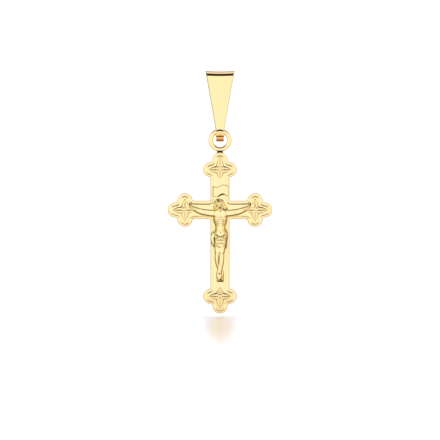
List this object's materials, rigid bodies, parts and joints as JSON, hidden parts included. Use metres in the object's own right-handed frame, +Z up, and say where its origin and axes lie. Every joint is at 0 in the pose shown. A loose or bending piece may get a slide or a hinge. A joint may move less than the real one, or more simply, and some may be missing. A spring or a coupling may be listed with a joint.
{
  "type": "crucifix pendant",
  "caption": "Budded crucifix pendant in gold-coloured metal with a figure, scroll and leaf sprays in relief, swinging by its soldered ring in a folded, tapered bail.",
  "frame": {"origin": "the chain's seat: the middle of the inner top of the bail's fold", "axes": "+Z up, the way the pendant hangs; the front with the relief faces -Y; +X to the viewer's right"},
  "size_m": [0.0146, 0.0026, 0.034],
  "materials": {
    "bail_sheet": "polished, pale gold plate on rolled sheet",
    "cast_relief": "polished, pale gold plate on cast brass, softer in the relief"
  },
  "bodies": {
    "bail": {"bail": "bail_sheet"},
    "crucifix": {"crucifix": "cast_relief"}
  },
  "joints": [
    {"name": "ring_swing", "type": "hinge", "parent": "bail", "child": "crucifix", "pos_m": [0, 0, -0.00812], "axis": [1, 0, 0], "range_deg": [-143, 143]}
  ]
}
